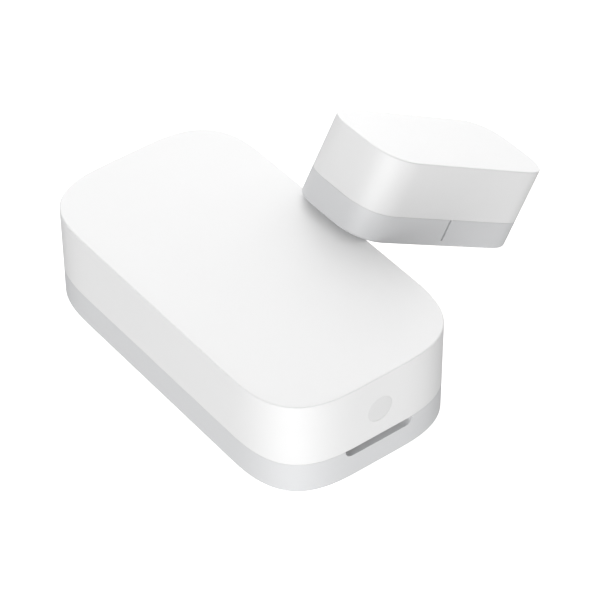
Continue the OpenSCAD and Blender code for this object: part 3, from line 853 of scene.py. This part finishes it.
def via_rings():
    """Plated holes: a low ring of tin round a sunk middle."""
    profile = [(0.13, 0.1), (0.13, -0.015), (0.16, -0.03)]
    profile += [(0.26, -0.03), (0.29, -0.01), (0.29, 0.1)]
    spots = [(-7.6, -1.9), (-4, 4), (0.1, -11), (5, -6.1), (2.2, 3.6)]
    spots += [(-1.4, 3.6), (-3, 0.6), (8.4, -1.2), (6.4, -11.3)]
    spots += [(-8.6, -4.6 + 1.5 * i) for i in range(3)]
    spots += [(8.5, -5.4 + 1.3 * i) for i in range(3)]
    rings = [placed(ring_of(profile, 24), on_board(x, y)) for x, y in spots]
    piece("via_rings", joined(rings), "housing", "tin_plate")


def solder_mound(w, l, h, x, y):
    """Solder that climbs from its pad in a hollow curve, hanging from the board at z 0."""
    steps = [(0, SUNK), (0, -0.02), (0.06, -0.05), (0.12, -0.15 * h - 0.05)]
    steps += [(0.17, -0.5 * h), (0.19, -h)]
    rings = [inset((w, l, 0.22, 2), by, z, 4) for by, z in steps]
    return placed(loft(rings), Matrix.Translation((x, y, 0)))


def solder():
    """Solder at every chip part's ends, the radio chip's leads and the bulk capacitor."""
    chip_x, lead_x, lead_pitch, bulk_y = 0.78, RADIO_W / 2 + 0.22, 0.75, 1.65
    mounds = []
    for spots, height in ((CAPACITORS, 0.45), (RESISTORS, 0.3)):
        for spot in spots:
            for x in (-chip_x, chip_x):
                mounds.append(placed(solder_mound(0.62, 0.94, height, x, 0), on_board(*spot)))
    for turn in range(0, 360, 90):
        for i in range(6):
            mound = solder_mound(0.5, 0.4, 0.12, lead_x, lead_pitch * (i - 2.5))
            mounds.append(placed(mound, on_board(*RADIO, turn)))
    for y in (-bulk_y, bulk_y):
        mounds.append(placed(solder_mound(1.3, 0.6, 0.5, 0, y), on_board(*BULK)))
    piece("solder", joined(mounds), "housing", "tin_plate", angle=50)


def board_printing():
    """White outlines round the parts, a dot at the radio chip's first lead, arcs at the cell."""
    width, proud, dot_r = 0.13, 0.012, 0.22
    bands = []

    def line(*points):
        bands.append(strip(points, width, proud))

    def corners(x, y, w, l, leg):
        for sx in (-1, 1):
            for sy in (-1, 1):
                cx, cy = x + sx * w / 2, y + sy * l / 2
                line((cx - sx * leg, cy), (cx, cy), (cx, cy - sy * leg))

    corners(*RADIO, RADIO_W + 1.3, RADIO_W + 1.3, 0.7)
    corners(*CRYSTAL, 3.8, 3.1, 0.8)
    corners(*BULK, 2.3, 4.7, 0.5)
    beside, half = 0.62, 0.35
    for x, y, turn in CAPACITORS + RESISTORS:
        for out in (-beside, beside):
            if turn:
                line((x + out, y - half), (x + out, y + half))
            else:
                line((x - half, y + out), (x + half, y + out))
    ring_r, span, steps = CELL_R + 1.05, 55, 22
    for start in (195, 290):
        angles = [radians(start + span * i / steps) for i in range(steps + 1)]
        line(*[(ring_r * cos(a), CELL_Y + ring_r * sin(a)) for a in angles])
    dot = turned([(0, SUNK), (dot_r, SUNK), (dot_r, -proud), (0, -proud)], 24)
    out = RADIO_W / 2 + 0.9
    bands.append(placed(dot, on_board(RADIO[0] - out, RADIO[1] + out)))
    piece("board_printing", joined(bands), "housing", "board", look="board_ink")


# ---- the coin cell ----


def coin_cell():
    """A pressed can rolled over a sealing ring, which holds the stepped cap.

    The three outlines are (radius, height) points above the can's flat foot.
    """
    place = Matrix.Translation((0, CELL_Y, CAN_LO.z))
    r, foot_r = CELL_R, 0.4
    tall = CAP_TOP - CAN_LO.z
    can = [(0, 0.04), (r - 2.1, 0.04), (r - 2, 0.01), (r - 1.9, 0)]
    can += [(r - foot_r + foot_r * sin(a), foot_r - foot_r * cos(a)) for a in quarter(6)]
    can += [(r, 2.5), (r - 0.03, 2.62), (r - 0.12, 2.74), (r - 0.26, 2.84), (r - 0.42, 2.9)]
    can += [(r - 0.57, 2.9), (r - 0.6, 2.87), (r - 0.6, 2.74), (r - 0.5, 2.69), (r - 0.25, 2.5)]
    can += [(r - 0.25, 0.3), (0, 0.28)]
    piece("cell_can", placed(turned(can), place), "coin_cell", "nickel", ["battery_can"])

    g = r - 0.27
    ring = [(g - 0.7, 0.29), (g, 0.29), (g, 2.47), (g - 0.25, 2.65), (g - 0.35, 2.71)]
    ring += [(g - 0.35, 2.86), (g - 0.4, 2.91), (g - 0.55, 2.92), (g - 0.66, 2.91)]
    ring += [(g - 0.7, 2.86)]
    piece("cell_seal", placed(ring_of(ring), place), "coin_cell", "dark_rubber", ["battery_gasket"])

    cap = [(0, tall - 0.25), (6.1, tall - 0.25), (6.5, 2.72), (6.74, 2.6), (6.74, 0.9)]
    cap += [(7.01, 0.9), (7.01, 2.7), (6.96, 2.78), (6.85, 2.85), (6.7, 2.9), (6.58, 2.97)]
    cap += [(6.48, 3.07), (6.4, 3.15), (6.28, tall - 0.01), (6.15, tall), (4.3, tall)]
    cap += [(4.22, tall - 0.02), (4.1, tall - 0.03), (0, tall - 0.03)]
    piece("cell_cap", placed(turned(cap), place), "coin_cell", "nickel", ["battery_cap"])


# ---- the CAD nodes that are shown as they are ----


def dress_nodes():
    """Every carried-over CAD node gets its slot's material, and soft edges where it has room."""
    bevels = {  # in millimetres
        "switch_body": 0.12,
        "switch_stem": 0.06,
        "switch_cover": 0.04,
        "switch_terminals": 0.03,
        "radio_chip": 0.06,
        "radio_chip_leads": 0.02,
        "crystal_base": 0.05,
        "crystal_lid": 0.08,
        "capacitor_bodies": 0.04,
        "capacitor_ends": 0.06,
        "resistor_bodies": 0.03,
        "resistor_ends": 0.05,
        "bulk_capacitor": 0.1,
        "status_led": 0.08,
        "reed_tongue": 0.03,
        "battery_holder": 0.08,
        "positive_contact": 0.03,
        "negative_contact": 0.03,
        "bar_magnet": 0.1,
    }
    for part in record["subparts"]:
        obj = nodes[part["node"]]
        if obj.hide_render:
            continue
        obj.data.materials.clear()
        obj.data.materials.append(materials[part["material_slot"]])
        if part["node"] in bevels:
            weld = obj.modifiers.new("weld", "WELD")
            weld.merge_threshold = 1e-6
            bevel = obj.modifiers.new("bevel", "BEVEL")
            bevel.width = bevels[part["node"]] * MM
            bevel.segments = 3
            bevel.limit_method = "ANGLE"
            bevel.angle_limit = radians(NODE_SHARP)
        shaded(obj, NODE_SHARP)


# ---- studio ----


def make_camera():
    """Looks from the front left and well above, through a long lens."""
    yaw, pitch, roll = radians(-37.46), radians(42.04), radians(-0.19)
    target = Vector((7.98, 2.09, RIM_Z)) * MM
    distance = 277.4 * MM
    back = Vector((sin(yaw) * cos(pitch), -cos(yaw) * cos(pitch), sin(pitch)))
    right = Vector((cos(yaw), sin(yaw), 0))
    up = back.cross(right)
    x = cos(roll) * right + sin(roll) * up
    y = -sin(roll) * right + cos(roll) * up
    camera = bpy.data.objects.new("camera", bpy.data.cameras.new("camera"))
    camera.data.sensor_width = 36
    camera.data.lens = 165.5
    camera.data.clip_start = 0.01
    turn = Matrix((x, y, back)).transposed().to_4x4()
    camera.matrix_world = Matrix.Translation(target + back * distance) @ turn
    bpy.context.scene.collection.objects.link(camera)
    bpy.context.scene.camera = camera


def soft_light(name, azimuth, elevation, watts):
    """Square softbox aimed at the object's middle; azimuth 0 stands at -Y and -90 at -X."""
    middle, distance, size = Vector((0.007, 0, 0.005)), 0.6, 0.5  # in metres
    a, e = radians(azimuth), radians(elevation)
    back = Vector((sin(a) * cos(e), -cos(a) * cos(e), sin(e)))
    data = bpy.data.lights.new(name, "AREA")
    data.shape = "SQUARE"
    data.size = size
    data.energy = watts
    lamp = bpy.data.objects.new(name, data)
    lamp.location = middle + back * distance
    lamp.rotation_euler = back.to_track_quat("Z", "Y").to_euler()
    bpy.context.scene.collection.objects.link(lamp)


def make_world(ambient):
    """Even light from all round; the camera itself sees plain white."""
    world = bpy.data.worlds.new("studio")
    world.use_nodes = True
    tree = world.node_tree
    tree.nodes.clear()
    seen = tree.nodes.new("ShaderNodeLightPath")
    fill = tree.nodes.new("ShaderNodeBackground")
    fill.inputs["Color"].default_value = (1, 1, 1, 1)
    fill.inputs["Strength"].default_value = ambient
    white = tree.nodes.new("ShaderNodeBackground")
    white.inputs["Color"].default_value = (1, 1, 1, 1)
    mixed = tree.nodes.new("ShaderNodeMixShader")
    out = tree.nodes.new("ShaderNodeOutputWorld")
    tree.links.new(seen.outputs["Is Camera Ray"], mixed.inputs[0])
    tree.links.new(fill.outputs[0], mixed.inputs[1])
    tree.links.new(white.outputs[0], mixed.inputs[2])
    tree.links.new(mixed.outputs[0], out.inputs["Surface"])
    bpy.context.scene.world = world


def make_floor():
    """A white sweep that neither lights nor shades the object and is clear from below.

    It goes down with the base when that is pulled off, so that the base stays in sight.
    """
    half_side, below = 0.6, 0.00002  # in metres
    grey, glow_strength = 0.6, 0.9
    bm = bmesh.new()
    bmesh.ops.create_grid(bm, x_segments=1, y_segments=1, size=half_side)
    floor = as_object("floor", bm)
    floor.location.z = -below
    floor.visible_diffuse = False
    floor.visible_glossy = False
    floor.visible_shadow = False
    material = bpy.data.materials.new("floor")
    material.use_nodes = True
    tree = material.node_tree
    tree.nodes.clear()
    paint = tree.nodes.new("ShaderNodeBsdfDiffuse")
    paint.inputs["Color"].default_value = (grey, grey, grey, 1)
    glow = tree.nodes.new("ShaderNodeEmission")
    glow.inputs["Strength"].default_value = glow_strength
    lit = tree.nodes.new("ShaderNodeAddShader")
    clear = tree.nodes.new("ShaderNodeBsdfTransparent")
    side = tree.nodes.new("ShaderNodeNewGeometry")
    mixed = tree.nodes.new("ShaderNodeMixShader")
    out = tree.nodes.new("ShaderNodeOutputMaterial")
    tree.links.new(paint.outputs[0], lit.inputs[0])
    tree.links.new(glow.outputs[0], lit.inputs[1])
    tree.links.new(side.outputs["Backfacing"], mixed.inputs[0])
    tree.links.new(lit.outputs[0], mixed.inputs[1])
    tree.links.new(clear.outputs[0], mixed.inputs[2])
    tree.links.new(mixed.outputs[0], out.inputs["Surface"])
    floor.data.materials.append(material)
    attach(floor, "back_cover")


def make_studio():
    """Plain display of colours, even light, the floor, and a softbox for each line below."""
    lights = {  # azimuth and elevation in degrees, and watts
        "back_high": (180, 60, 0.51),
        "back_left": (-150, 32, 0.47),
        "back_right": (150, 32, 1.42),
        "back_right_low": (150, 8, 0.77),
        "right_back": (120, 32, 0.61),
        "right_back_low": (120, 8, 0.37),
        "right": (90, 32, 0.74),
        "front": (0, 8, 0.69),
        "front_left_below": (-45, -12, 1.85),
        "left_high": (-60, 32, 0.12),
        "left": (-60, 8, 1.13),
    }
    bpy.context.scene.view_settings.view_transform = "Standard"
    make_world(ambient=0.39)
    make_floor()
    for name, (azimuth, elevation, watts) in lights.items():
        soft_light(name, azimuth, elevation, watts)


# ---- the whole ----

sensor_shell()
sensor_base()
function_button()
switch_leaf()
pad("foam", SENSOR, PAD_IN, LINER_T, RECESS_Z, "back_cover", "sensor_pad")
liner("paper", SENSOR, LINER_IN, 0, LINER_T, "back_cover", "sensor_liner")
magnet_unit()
coin_cell()
board_tracks()
via_rings()
solder()
board_printing()
dress_nodes()
make_camera()
make_studio()
